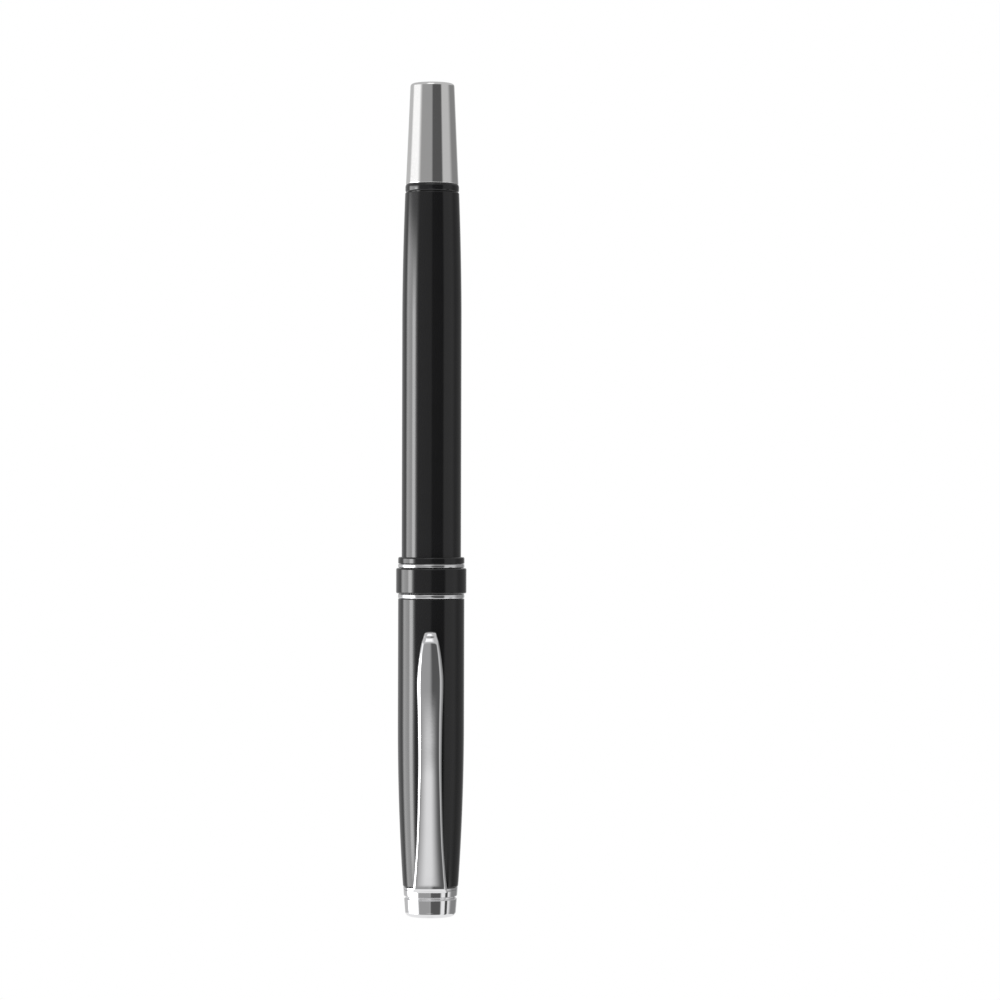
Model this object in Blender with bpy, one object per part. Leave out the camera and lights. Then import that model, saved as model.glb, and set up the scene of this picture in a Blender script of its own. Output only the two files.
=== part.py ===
"""Capped metal pen with a needle-point rollerball refill.

The pen stands cap down: the origin is the centre of the crown's flat end, +Z runs
along the pen's axis to the tail, and the clip is on the -Y side. Lengths below are
in millimetres; every mesh is built in metres.
"""

import math

import bmesh
import bpy

MM = 0.001
ROUND = 28  # sides of the turned pieces
FINE = 16  # sides of the slender pieces inside the refill
MERGE = 1e-7
SHARP = math.radians(32.0)

# Heights along the axis
CROWN_TOP = 4.40
RING_LOW, RING_TOP = 4.45, 4.85
CAP_LOW, CAP_TOP = 4.90, 52.24
LOWER_TRIM = (52.29, 53.06)
BAND = (53.11, 57.27)
UPPER_TRIM = (57.32, 57.97)
LIP = (58.02, 59.08)
BARREL_LOW, BARREL_TOP = 58.15, 119.00
JOINT = (119.10, 120.35)
TAIL_LOW, TAIL_TOP = 120.40, 137.0
NOSE_LOW, NOSE_TOP = 16.6, 26.0
SECTION_TOP = 57.0
SECTION_RING = (57.05, 58.10)
SECTION_THREAD = (50.0, 67.0)
BALL_LOW = 12.0
REFILL_LOW, REFILL_TOP = 36.15, 124.1
TIP_TOP = 24.0
SPRING_SEAT = 134.6

# Radii and walls
CAP_RADIUS = 5.46
CAP_LOW_RADIUS = 4.55
CAP_TAPER = 27.0
CAP_WALL = 0.46
BAND_RADIUS = 5.79
BARREL_RADIUS = 4.89
BARREL_TOP_RADIUS = 4.45
BARREL_TAPER_LOW = 98.0
BARREL_BORE = 4.36
BARREL_REAR_BORE = 3.95
TAIL_LOW_RADIUS = 4.32
TAIL_TOP_RADIUS = 3.60
TAIL_SOCKET = 3.62
JOINT_RADIUS, JOINT_SWELL = 4.42, 0.12
REFILL_RADIUS = 3.0
REFILL_BORE = 3.1
THREAD_RADIUS = 3.68
SECTION_RING_RADIUS = 4.45
BALL_RADIUS = 0.25
SCREW_HOLE = 1.35
FIT = 0.05

# The clip: pressed sheet, an open channel with bevelled edges and deeper lobes near its end
CLIP_SHEET = 0.34
CLIP_BEVEL = 0.3  # width of each bevel as a share of the clip's half width
CLIP_BOW = 0.1  # rise of the convex face as a share of its half width
CLIP_ROOT = 5.4
CLIP_ROOT_HALF = 2.75
CLIP_TAB_HALF = 2.6
CLIP_TAB_END = 5.28


# ---------------------------------------------------------------- curves


def arc(centre_r, centre_z, radius, start, end, count):
    """Points on an arc in the (radius, height) plane, angles in degrees from +r."""
    points = []
    for i in range(count + 1):
        a = math.radians(start + (end - start) * i / count)
        points.append((centre_r + radius * math.cos(a), centre_z + radius * math.sin(a)))
    return points


def swept(function, low, high, count):
    """Points (function(z), z) at even heights from low to high."""
    return [
        (function(low + (high - low) * i / count), low + (high - low) * i / count)
        for i in range(count + 1)
    ]


def through(points):
    """A smooth curve through (place, value) points, by cubic Hermite spans."""

    def slope(i):
        if i == 0 or i == len(points) - 1:
            return 0.0
        (x0, y0), (x1, y1) = points[i - 1], points[i + 1]
        return (y1 - y0) / (x1 - x0)

    def value(x):
        if x <= points[0][0]:
            return points[0][1]
        if x >= points[-1][0]:
            return points[-1][1]
        i = 0
        while points[i + 1][0] < x:
            i += 1
        (x0, y0), (x1, y1) = points[i], points[i + 1]
        step = x1 - x0
        t = (x - x0) / step
        rise, fall = t * t * (3 - 2 * t), t * (1 - t)
        bend = slope(i) * (1 - t) - slope(i + 1) * t
        return y0 + (y1 - y0) * rise + step * fall * bend

    return value


def cap_radius(z):
    left = max(0.0, 1 - (z - CAP_LOW) / CAP_TAPER)
    return CAP_RADIUS - (CAP_RADIUS - CAP_LOW_RADIUS) * left**2


def barrel_radius(z):
    along = max(0.0, (z - BARREL_TAPER_LOW) / (BARREL_TOP - BARREL_TAPER_LOW))
    return BARREL_RADIUS - (BARREL_RADIUS - BARREL_TOP_RADIUS) * along**1.8


def tail_radius(z):
    along = (z - TAIL_LOW) / (TAIL_TOP - TAIL_LOW)
    return TAIL_LOW_RADIUS + (TAIL_TOP_RADIUS - TAIL_LOW_RADIUS) * along


grip_radius = through([(NOSE_TOP, 3.72), (32.0, 3.80), (44.0, 4.02), (SECTION_TOP, 4.32)])


# ---------------------------------------------------------------- objects


def clear_scene():
    for thing in list(bpy.data.objects):
        bpy.data.objects.remove(thing)


def material(name, colour, roughness, metallic):
    made = bpy.data.materials.new(name)
    made.use_nodes = True
    shader = made.node_tree.nodes["Principled BSDF"]
    shader.inputs["Base Color"].default_value = (*colour, 1.0)
    shader.inputs["Roughness"].default_value = roughness
    shader.inputs["Metallic"].default_value = metallic
    made.diffuse_color = (*colour, 1.0)
    return made


def add(name, bm, finish):
    """Close a bmesh into a named object with smooth round faces."""
    bmesh.ops.remove_doubles(bm, verts=bm.verts, dist=MERGE)
    bmesh.ops.recalc_face_normals(bm, faces=bm.faces)
    mesh = bpy.data.meshes.new(name)
    bm.to_mesh(mesh)
    bm.free()
    mesh.shade_smooth()
    mesh.set_sharp_from_angle(angle=SHARP)
    mesh.materials.append(finish)
    made = bpy.data.objects.new(name, mesh)
    bpy.context.collection.objects.link(made)
    return made


def turned(name, outline, finish, sides=ROUND):
    """Spin a section about the axis: closed, or open if both its ends are on the axis."""
    bm = bmesh.new()
    ring = [bm.verts.new((r * MM, 0.0, z * MM)) for r, z in outline]
    solid = outline[0][0] == 0 and outline[-1][0] == 0
    edges = [bm.edges.new(pair) for pair in zip(ring, ring[1:])]
    if not solid:
        edges.append(bm.edges.new((ring[-1], ring[0])))
    bmesh.ops.spin(
        bm,
        geom=ring + edges,
        cent=(0, 0, 0),
        axis=(0, 0, 1),
        angle=math.tau,
        steps=sides,
        use_merge=True,
    )
    return add(name, bm, finish)


def sleeve(name, low, high, bore, radius, finish, ease=0.08, sides=ROUND):
    """A plain turned sleeve with eased outer edges."""
    outline = [
        (bore, low),
        (radius - ease, low),
        (radius, low + ease),
        (radius, high - ease),
        (radius - ease, high),
        (bore, high),
    ]
    return turned(name, outline, finish, sides)


def cut(target, cutter):
    """Leave a Boolean difference on the target and hide its cutter."""
    cutter.hide_render = True
    cutter.display_type = "WIRE"
    difference = target.modifiers.new("cut", "BOOLEAN")
    difference.operation = "DIFFERENCE"
    difference.object = cutter


def block(name, size, centre):
    bm = bmesh.new()
    bmesh.ops.create_cube(bm, size=1.0)
    bmesh.ops.scale(bm, vec=[s * MM for s in size], verts=bm.verts)
    bmesh.ops.translate(bm, vec=[c * MM for c in centre], verts=bm.verts)
    mesh = bpy.data.meshes.new(name)
    bm.to_mesh(mesh)
    bm.free()
    made = bpy.data.objects.new(name, mesh)
    bpy.context.collection.objects.link(made)
    return made


# ---------------------------------------------------------------- cap


def make_crown(finish):
    """Round finial with one turned groove and a blind hole for its screw."""
    edge, low_side, side, top_edge = 0.8, 4.22, 4.45, 0.1
    groove, groove_half, groove_deep = 3.15, 0.24, 0.3
    screw_hole, screw_depth = 1.25, 1.9

    def flank(z):
        along = (z - edge) / (CROWN_TOP - edge)
        return low_side + (side - low_side) * math.sin(along * math.pi / 2)

    low, high = groove - groove_half, groove + groove_half
    outline = [(0, 0)]
    outline += arc(low_side - edge, edge, edge, -90, 0, 5)
    outline += swept(flank, edge, low, 2)[1:]
    outline += [(flank(low) - groove_deep, low + 0.05), (flank(high) - groove_deep, high - 0.05)]
    outline += swept(flank, high, CROWN_TOP - top_edge, 2)
    outline += [(side - top_edge, CROWN_TOP), (screw_hole, CROWN_TOP)]
    outline += [(screw_hole, screw_depth), (0, screw_depth)]
    turned("crown", outline, finish)


def make_crown_screw(finish):
    """Slotted screw from inside the cap; it clamps the liner, the tube and the clip."""
    head_low, head_high, head, edge = 6.97, 8.6, 2.4, 0.25
    shank_low, shank, point = 2.2, 1.15, 0.2
    outline = [(0, shank_low), (shank - point, shank_low), (shank, shank_low + point)]
    outline += [(shank, head_low), (head, head_low)]
    outline += [(head, head_high - edge), (head - edge, head_high), (0, head_high)]
    screw = turned("crown_screw", outline, finish, FINE)
    cut(screw, block("screw_slot_cutter", (6.0, 0.6, 1.4), (0, 0, head_high)))


def make_clip_ring(finish):
    """Flat ring clamped under the crown, with the tab that the clip bends up from."""
    ring = 4.5
    corner = math.atan2(CLIP_TAB_END, CLIP_TAB_HALF)
    foot = math.acos(CLIP_TAB_HALF / ring)
    marked = [-corner, -foot, corner - math.pi, foot - math.pi]
    even = [math.tau * i / ROUND - math.pi for i in range(ROUND)]
    spare = 0.04
    angles = sorted(marked + [a for a in even if all(abs(a - m) > spare for m in marked)])

    def reach(a):
        in_tab = abs(math.cos(a)) * ring < CLIP_TAB_HALF + 1e-6 and math.sin(a) < 0
        if not in_tab:
            return ring
        side = CLIP_TAB_HALF / max(1e-9, abs(math.cos(a)))
        return max(ring, min(side, CLIP_TAB_END / -math.sin(a)))

    def loop(radius, z):
        return [
            bm.verts.new((radius(a) * math.cos(a) * MM, radius(a) * math.sin(a) * MM, z * MM))
            for a in angles
        ]

    bm = bmesh.new()
    outer = [loop(reach, z) for z in (RING_LOW, RING_TOP)]
    inner = [loop(lambda a: SCREW_HOLE, z) for z in (RING_LOW, RING_TOP)]
    for i in range(len(angles)):
        j = (i + 1) % len(angles)
        bm.faces.new((outer[0][i], outer[0][j], outer[1][j], outer[1][i]))
        bm.faces.new((inner[0][j], inner[0][i], inner[1][i], inner[1][j]))
        bm.faces.new((outer[1][i], outer[1][j], inner[1][j], inner[1][i]))
        bm.faces.new((outer[0][j], outer[0][i], inner[0][i], inner[0][j]))
    add("clip_ring", bm, finish)


def clip_rows():
    """Stations along the clip: height, half width, face distance, flange edge distance."""
    half_width = through(
        [(4.6, 2.78), (7.8, 2.52), (12.0, 2.22), (17.2, 2.04), (25.0, 1.92), (32.0, 1.99)]
        + [(39.0, 2.15), (42.2, 1.92), (45.1, 1.50), (47.1, 0.92)]
    )
    face = through(
        [(4.6, 6.9), (5.6, 7.36), (8.6, 7.66), (13.5, 7.85), (21.4, 8.14), (29.0, 8.18)]
        + [(37.2, 8.15), (41.2, 8.00), (45.1, 7.68), (47.1, 7.25)]
    )
    edge = through(
        [(4.6, 5.42), (5.4, 5.45), (8.6, 5.72), (13.9, 6.06), (20.7, 6.60), (36.6, 6.62)]
        + [(38.6, 6.40), (39.9, 5.86), (41.9, 5.30), (43.2, 5.36), (44.5, 5.66)]
        + [(45.3, 5.95), (47.1, 5.75)]
    )
    heights = [5.6, 6.6, 8.0, 10.0, 12.5, 15.0, 18.0, 21.0, 25.0, 29.0, 33.0, 36.0, 37.5]
    heights += [38.6, 39.4, 40.2, 41.2, 42.2, 43.2, 44.2, 45.0, 45.8, 46.4]
    rows = [(z, half_width(z), face(z), edge(z)) for z in heights]
    tip = 47.1
    base = [
        (RING_LOW + up, CLIP_ROOT_HALF, CLIP_ROOT + out, CLIP_ROOT)
        for up, out in ((0.0, 0.04), (0.08, 1.05), (0.45, 1.62))
    ]
    end = [(46.8, half_width(46.8), 7.10, 5.78), (47.03, 0.95, 6.75, 5.76), (tip, 0.90, 5.82, 5.74)]
    return base + rows + end


def clip_section(half, face, edge):
    """Across the channel: flange edge, side, bevel, slightly convex face, and back."""
    bevel = min(CLIP_BEVEL * half, 0.9 * (face - edge))
    flat = half - bevel
    bow = min(CLIP_BOW * flat, 0.1 * (face - edge))
    shoulder = max(edge + 0.01, face - bow - bevel)
    left = [(-half, edge), (-half, shoulder), (-flat, face - bow), (-flat / 2, face - bow / 4)]
    return left + [(0, face)] + [(-x, y) for x, y in reversed(left)]


def make_clip(finish):
    """The sprung arm: an outer and an inner skin over one set of stations."""
    rows = clip_rows()
    low, high, reach = rows[0][0], rows[-1][0], 1.2
    bm = bmesh.new()
    skins = []
    for inset in (0.0, CLIP_SHEET):
        skin = []
        for z, half, face, edge in rows:
            lift = max(0.0, 1 - (z - low) / reach) - max(0.0, 1 - (high - z) / reach)
            inner_face = max(edge + 0.03, face - inset)
            across = clip_section(half - inset, inner_face, edge)
            height = (z + inset * lift) * MM
            skin.append([bm.verts.new((x * MM, -y * MM, height)) for x, y in across])
        skins.append(skin)
    outer, inner = skins
    across, along = len(outer[0]), len(rows)
    for i in range(along - 1):
        for j in range(across - 1):
            bm.faces.new((outer[i][j], outer[i][j + 1], outer[i + 1][j + 1], outer[i + 1][j]))
            bm.faces.new((inner[i][j + 1], inner[i][j], inner[i + 1][j], inner[i + 1][j + 1]))
    for i in range(along - 1):
        for j in (0, across - 1):
            bm.faces.new((outer[i][j], inner[i][j], inner[i + 1][j], outer[i + 1][j]))
    for j in range(across - 1):
        for i in (0, along - 1):
            bm.faces.new((outer[i][j], outer[i][j + 1], inner[i][j + 1], inner[i][j]))
    clip = add("clip", bm, finish)
    put_origin(clip, (0.0, -CLIP_ROOT, RING_LOW + 0.15))


def put_origin(thing, point):
    """Move an object's origin to a point in millimetres without moving its mesh."""
    place = [c * MM for c in point]
    for vertex in thing.data.vertices:
        for axis in range(3):
            vertex.co[axis] -= place[axis]
    thing.location = place


def make_cap_tube(finish):
    """Drawn tube with a closed end; its lower third tapers in a long curve."""
    floor, low_edge, lip = 0.9, 0.15, 0.08

    def bore(z):
        return cap_radius(z) - CAP_WALL

    taper_end = CAP_LOW + CAP_TAPER
    outline = [(SCREW_HOLE, CAP_LOW), (cap_radius(CAP_LOW) - low_edge, CAP_LOW)]
    outline += swept(cap_radius, CAP_LOW + low_edge, taper_end, 8)
    outline += [(CAP_RADIUS, CAP_TOP - lip), (CAP_RADIUS - lip, CAP_TOP)]
    outline += [(CAP_RADIUS - CAP_WALL, CAP_TOP)]
    outline += reversed(swept(bore, CAP_LOW + floor, taper_end, 6))
    outline += [(SCREW_HOLE, CAP_LOW + floor)]
    turned("cap_tube", outline, finish)


def make_inner_cap(finish):
    """Moulded liner that closes over the nose and keeps the point from drying."""
    low, top, floor, wall, gap = 5.87, 42.0, 0.95, 0.5, 0.1

    def outside(z):
        return cap_radius(z) - CAP_WALL - gap

    def inside(z):
        return outside(z) - wall

    outline = [(SCREW_HOLE, low)] + swept(outside, low, top, 7)
    outline += reversed(swept(inside, low + floor, top, 7))
    outline += [(SCREW_HOLE, low + floor)]
    turned("inner_cap", outline, finish)


def make_cap_mouth(lacquer, chrome, plastic):
    """The bush in the cap's mouth and the four rings that it carries."""
    bush_radius, bush_bore, bush_low, recess = 4.93, 4.55, 43.0, 0.09
    bore = bush_radius + FIT
    sleeve("mouth_bush", bush_low, LIP[0] - recess, bush_bore, bush_radius, plastic)
    sleeve("lower_trim_ring", *LOWER_TRIM, bore, CAP_RADIUS, chrome)
    sleeve("upper_trim_ring", *UPPER_TRIM, bore, CAP_RADIUS, chrome)
    low, high = BAND
    ease, foot = 0.3, CAP_RADIUS - 0.05
    band = [(bore, low), (foot, low)]
    band += arc(BAND_RADIUS - ease, low + ease, ease, -90, 0, 3)
    band += arc(BAND_RADIUS - ease, high - ease, ease, 0, 90, 3)
    band += [(foot, high), (bore, high)]
    turned("centre_band", band, lacquer)
    low, high = LIP
    low_edge, round_edge = 0.08, 0.22
    lip = [(bore, low), (CAP_RADIUS - low_edge, low), (CAP_RADIUS, low + low_edge)]
    lip += arc(CAP_RADIUS - round_edge, high - round_edge, round_edge, 0, 90, 3)
    lip += [(bore, high)]
    turned("lip_ring", lip, lacquer)


# ---------------------------------------------------------------- front section


def make_section(lacquer, chrome, brass):
    """Grip, the ring behind it, the threaded tube in its rear end, and the nose."""
    spigot, spigot_low, narrow, step, rear_edge = 2.95, 21.0, 2.3, 36.0, 0.12
    socket, socket_low = THREAD_RADIUS + 0.07, SECTION_THREAD[0] - 0.1
    outline = [(narrow, spigot_low), (spigot, spigot_low), (spigot, NOSE_TOP)]
    outline += swept(grip_radius, NOSE_TOP, SECTION_TOP - rear_edge, 7)
    outline += [(grip_radius(SECTION_TOP) - rear_edge, SECTION_TOP), (socket, SECTION_TOP)]
    outline += [(socket, socket_low), (REFILL_BORE, socket_low)]
    outline += [(REFILL_BORE, step), (narrow, step)]
    turned("grip_section", outline, lacquer)
    sleeve("section_ring", *SECTION_RING, socket, SECTION_RING_RADIUS, chrome, ease=0.2)
    sleeve("section_thread", *SECTION_THREAD, REFILL_BORE, THREAD_RADIUS, brass, ease=0.2)
    seat, bore, shoulder, front_edge = 20.0, 1.0, 20.9, 0.15
    spigot_bore, holder_bore = spigot + 0.07, 2.35
    nose = through([(NOSE_LOW, 1.42), (19.0, 2.22), (22.5, 3.14), (NOSE_TOP, 3.70)])
    cone = [(bore, NOSE_LOW), (nose(NOSE_LOW) - front_edge, NOSE_LOW)]
    cone += swept(nose, NOSE_LOW + front_edge, NOSE_TOP - FIT, 6)
    cone += [(spigot_bore, NOSE_TOP - FIT), (spigot_bore, shoulder)]
    cone += [(holder_bore, shoulder), (holder_bore, seat), (bore, seat)]
    turned("nose_cone", cone, chrome)


# ---------------------------------------------------------------- refill


def make_refill(plastic, steel, fibre, carbide):
    """Metal ink tube with a fibre reservoir, a capillary rod and a needle point."""
    tube_top, tube_bore = 121.0, 2.62
    sleeve("refill_tube", REFILL_LOW, tube_top, tube_bore, REFILL_RADIUS, steel)

    plug, plug_low, head, edge = tube_bore - 0.06, 119.7, 2.92, 0.3
    vent, vent_low = 0.6, 122.0
    outline = [(0, plug_low), (plug, plug_low), (plug, tube_top + FIT), (head, tube_top + FIT)]
    outline += [(head, REFILL_TOP - edge), (head - edge, REFILL_TOP), (vent, REFILL_TOP)]
    outline += [(vent, vent_low), (0, vent_low)]
    turned("refill_plug", outline, plastic)

    rod_bore, tip_bore, seat, body, holder_top = 0.52, 0.95, 20.06, 2.15, 42.0
    holder = [(tip_bore, seat), (body - 0.15, seat), (body, seat + 0.15)]
    holder += [(body, REFILL_LOW - FIT), (plug, REFILL_LOW - FIT), (plug, holder_top)]
    holder += [(rod_bore, holder_top), (rod_bore, TIP_TOP + 0.1), (tip_bore, TIP_TOP + 0.1)]
    turned("tip_holder", holder, plastic)

    fill_low, fill_top, rod_top = holder_top + 0.2, plug_low - 0.2, 50.0
    fill = [(0, rod_top + 0.4), (rod_bore, rod_top + 0.4), (rod_bore, fill_low)]
    fill += [(plug, fill_low), (plug, fill_top), (0, fill_top)]
    turned("ink_reservoir", fill, fibre)

    needle, shank, ball_bore, rear_bore, tube_end = 0.35, 0.88, 0.28, 0.5, 12.22
    cone_low, cone_high = 15.2, 16.9
    tip = [(ball_bore, tube_end), (needle - 0.04, tube_end), (needle, tube_end + 0.1)]
    tip += [(needle, cone_low), (shank, cone_high), (shank, TIP_TOP), (rear_bore, TIP_TOP)]
    tip += [(rear_bore, cone_high + 0.3), (ball_bore, cone_high - 0.3)]
    turned("needle_tip", tip, steel, FINE)

    wick, rod, rod_low, step = 0.2, 0.4, BALL_LOW + 0.6, 17.3
    outline = [(0, rod_low), (wick, rod_low), (wick, step), (rod, step + 0.2), (rod, rod_top)]
    turned("feed_rod", outline + [(0, rod_top)], fibre, FINE)

    middle = BALL_LOW + BALL_RADIUS
    ball = arc(0, middle, BALL_RADIUS, -90, 90, 8)
    ball[0] = (0, BALL_LOW)
    ball[-1] = (0, BALL_LOW + 2 * BALL_RADIUS)
    put_origin(turned("writing_ball", ball, carbide, FINE), (0, 0, middle))


# ---------------------------------------------------------------- barrel


def make_barrel(lacquer, chrome, brass):
    """Barrel tube, its threaded bush, the joint ring and the tail with its bush."""
    bush_bore, bush = THREAD_RADIUS + 0.08, BARREL_BORE - 0.06
    sleeve("barrel_insert", 58.5, 70.0, bush_bore, bush, brass)

    rear_bore_low, step, low_edge, top_edge = 110.0, 0.4, 0.15, 0.1
    outline = [(BARREL_BORE, BARREL_LOW), (BARREL_RADIUS - low_edge, BARREL_LOW)]
    outline += [(BARREL_RADIUS, BARREL_LOW + low_edge)]
    outline += swept(barrel_radius, BARREL_TAPER_LOW, BARREL_TOP - top_edge, 7)
    outline += [(BARREL_TOP_RADIUS - top_edge, BARREL_TOP), (BARREL_REAR_BORE, BARREL_TOP)]
    outline += [(BARREL_REAR_BORE, rear_bore_low), (BARREL_BORE, rear_bore_low - step)]
    turned("barrel_tube", outline, lacquer)

    low, high = JOINT
    middle, half = (low + high) / 2, (high - low) / 2

    def ring(z):
        return JOINT_RADIUS - JOINT_SWELL * ((z - middle) / half) ** 2

    outline = [(TAIL_SOCKET, low)] + swept(ring, low, high, 4) + [(TAIL_SOCKET, high)]
    turned("joint_ring", outline, lacquer)

    bore, body, neck = 3.12, BARREL_REAR_BORE - 0.07, TAIL_SOCKET - 0.07
    insert_low, shoulder, insert_top = 110.5, BARREL_TOP - 0.4, 127.0
    insert = [(bore, insert_low), (body, insert_low), (body, shoulder), (neck, shoulder)]
    insert += [(neck, insert_top), (bore, insert_top)]
    turned("tail_insert", insert, brass)

    edge, low_edge, well, socket_top = 0.5, 0.1, 3.1, insert_top + 0.1
    top = tail_radius(TAIL_TOP - edge)
    tail = [(0, SPRING_SEAT), (well, SPRING_SEAT), (well, socket_top), (TAIL_SOCKET, socket_top)]
    tail += [(TAIL_SOCKET, TAIL_LOW), (TAIL_LOW_RADIUS - low_edge, TAIL_LOW)]
    tail += swept(tail_radius, TAIL_LOW + low_edge, TAIL_TOP - edge, 1)
    tail += arc(top - edge, TAIL_TOP - edge, edge, 15, 90, 4)
    turned("tail_cone", tail + [(0, TAIL_TOP)], chrome)


def make_spring(finish):
    """Compression spring between the refill's rear end and the tail."""
    wire, coil, turns, sides, gap = 0.2, 2.4, 7, 12, 0.1
    low, high = REFILL_TOP + gap + wire, SPRING_SEAT - gap - wire
    # the first and last turns are closed up, so most of the rise is in the middle
    end_turn, end_rise = 1 / turns, 0.05
    rise = through([(0.0, 0.0), (end_turn, end_rise), (1 - end_turn, 1 - end_rise), (1.0, 1.0)])
    curve = bpy.data.curves.new("refill_spring", "CURVE")
    curve.dimensions = "3D"
    curve.bevel_depth = wire * MM
    curve.bevel_resolution = 1
    curve.use_fill_caps = True
    line = curve.splines.new("POLY")
    count = turns * sides
    line.points.add(count)
    for i in range(count + 1):
        a = math.tau * turns * i / count
        z = low + (high - low) * rise(i / count)
        line.points[i].co = (coil * math.cos(a) * MM, coil * math.sin(a) * MM, z * MM, 1.0)
    curve.materials.append(finish)
    made = bpy.data.objects.new("refill_spring", curve)
    bpy.context.collection.objects.link(made)


def main():
    clear_scene()
    lacquer = material("black_lacquer", (0.012, 0.012, 0.014), 0.12, 0.0)
    chrome = material("chrome", (0.82, 0.82, 0.84), 0.06, 1.0)
    steel = material("steel", (0.62, 0.62, 0.64), 0.28, 1.0)
    brass = material("brass", (0.72, 0.54, 0.24), 0.25, 1.0)
    plastic = material("black_plastic", (0.02, 0.02, 0.022), 0.4, 0.0)
    white = material("white_plastic", (0.75, 0.75, 0.73), 0.35, 0.0)
    fibre = material("ink_fibre", (0.02, 0.03, 0.12), 0.9, 0.0)
    carbide = material("carbide", (0.4, 0.4, 0.42), 0.15, 1.0)
    make_crown(chrome)
    make_crown_screw(steel)
    make_clip_ring(chrome)
    make_clip(chrome)
    make_cap_tube(lacquer)
    make_inner_cap(white)
    make_cap_mouth(lacquer, chrome, plastic)
    make_section(lacquer, chrome, brass)
    make_refill(white, steel, fibre, carbide)
    make_barrel(lacquer, chrome, brass)
    make_spring(steel)


main()
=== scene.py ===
import math

import bmesh
import bpy
from mathutils import Euler, Matrix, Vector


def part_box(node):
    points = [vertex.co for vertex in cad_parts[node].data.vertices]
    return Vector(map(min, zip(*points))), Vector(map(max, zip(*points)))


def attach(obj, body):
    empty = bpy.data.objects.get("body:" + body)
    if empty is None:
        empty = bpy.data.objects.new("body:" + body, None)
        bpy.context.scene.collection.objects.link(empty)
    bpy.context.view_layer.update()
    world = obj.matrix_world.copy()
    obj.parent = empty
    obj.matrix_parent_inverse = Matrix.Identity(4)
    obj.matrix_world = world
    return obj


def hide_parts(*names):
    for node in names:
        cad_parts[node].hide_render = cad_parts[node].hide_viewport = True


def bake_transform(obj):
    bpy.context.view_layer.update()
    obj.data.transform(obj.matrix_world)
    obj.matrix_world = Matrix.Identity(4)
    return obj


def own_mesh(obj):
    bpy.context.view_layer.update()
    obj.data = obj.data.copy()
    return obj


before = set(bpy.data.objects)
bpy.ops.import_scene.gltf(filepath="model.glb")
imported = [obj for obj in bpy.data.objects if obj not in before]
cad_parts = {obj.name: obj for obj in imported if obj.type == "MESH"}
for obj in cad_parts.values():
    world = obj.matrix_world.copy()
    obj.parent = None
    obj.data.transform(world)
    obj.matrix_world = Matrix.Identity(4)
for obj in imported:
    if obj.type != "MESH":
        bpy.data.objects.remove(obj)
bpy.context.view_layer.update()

MM = 0.001
SIDES = 192  # sides of the turned pieces
EDGE_ANGLE = math.radians(28.0)


# ---------------------------------------------------------------- frame sizes, in millimetres


def extent(node):
    """(lowest height, highest height, radius) of a turned CAD node."""
    low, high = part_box(node)
    return low.z / MM, high.z / MM, high.x / MM


_, CROWN_TOP, CROWN_RADIUS = extent("crown")
CAP_LOW, CAP_TOP, CAP_RADIUS = extent("cap_tube")
BARREL_LOW, BARREL_TOP, BARREL_RADIUS = extent("barrel_tube")
TAIL_LOW, TAIL_TOP, TAIL_RADIUS = extent("tail_cone")
NOSE_LOW, NOSE_TOP, _ = extent("nose_cone")
GRIP_LOW, GRIP_TOP, _ = extent("grip_section")
RING_LOW, RING_TOP, _ = extent("clip_ring")
PEN_LENGTH = TAIL_TOP

CAP_LOW_RADIUS = 4.55
CAP_TAPER = 27.0
CAP_WALL = 0.46
BARREL_TOP_RADIUS = 4.45
BARREL_TAPER_LOW = 98.0
TAIL_TOP_RADIUS = 3.60
TAIL_SOCKET = 3.62
SCREW_HOLE = 1.35
TRIM_DROP = 0.15


def cap_radius(z):
    left = max(0.0, 1 - (z - CAP_LOW) / CAP_TAPER)
    return CAP_RADIUS - (CAP_RADIUS - CAP_LOW_RADIUS) * left**2


def barrel_radius(z):
    along = max(0.0, (z - BARREL_TAPER_LOW) / (BARREL_TOP - BARREL_TAPER_LOW))
    return BARREL_RADIUS - (BARREL_RADIUS - BARREL_TOP_RADIUS) * along**1.8


def tail_radius(z):
    along = (z - TAIL_LOW) / (TAIL_TOP - TAIL_LOW)
    return TAIL_RADIUS + (TAIL_TOP_RADIUS - TAIL_RADIUS) * along


# ---------------------------------------------------------------- curves


def arc(centre_r, centre_z, radius, start, end, count=8):
    """Points on an arc in the (radius, height) plane, angles in degrees from +r."""
    points = []
    for i in range(count + 1):
        a = math.radians(start + (end - start) * i / count)
        points.append((centre_r + radius * math.cos(a), centre_z + radius * math.sin(a)))
    return points


def swept(function, low, high, count):
    """Points (function(z), z) at even heights from low to high."""
    heights = [low + (high - low) * i / count for i in range(count + 1)]
    return [(function(z), z) for z in heights]


def through(points):
    """A smooth curve through (place, value) points, by cubic Hermite spans."""

    def slope(i):
        if i == 0 or i == len(points) - 1:
            return 0.0
        (x0, y0), (x1, y1) = points[i - 1], points[i + 1]
        return (y1 - y0) / (x1 - x0)

    def value(x):
        x = min(max(x, points[0][0]), points[-1][0])
        i = 0
        while i < len(points) - 2 and points[i + 1][0] < x:
            i += 1
        (x0, y0), (x1, y1) = points[i], points[i + 1]
        step = x1 - x0
        t = (x - x0) / step
        rise, fall = t * t * (3 - 2 * t), t * (1 - t)
        bend = slope(i) * (1 - t) - slope(i + 1) * t
        return y0 + (y1 - y0) * rise + step * fall * bend

    return value


# ---------------------------------------------------------------- meshes


def add_mesh(name, bm):
    bmesh.ops.remove_doubles(bm, verts=bm.verts, dist=1e-8)
    bmesh.ops.recalc_face_normals(bm, faces=bm.faces)
    mesh = bpy.data.meshes.new(name)
    bm.to_mesh(mesh)
    bm.free()
    mesh.shade_smooth()
    mesh.set_sharp_from_angle(angle=EDGE_ANGLE)
    made = bpy.data.objects.new(name, mesh)
    bpy.context.collection.objects.link(made)
    return made


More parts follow.
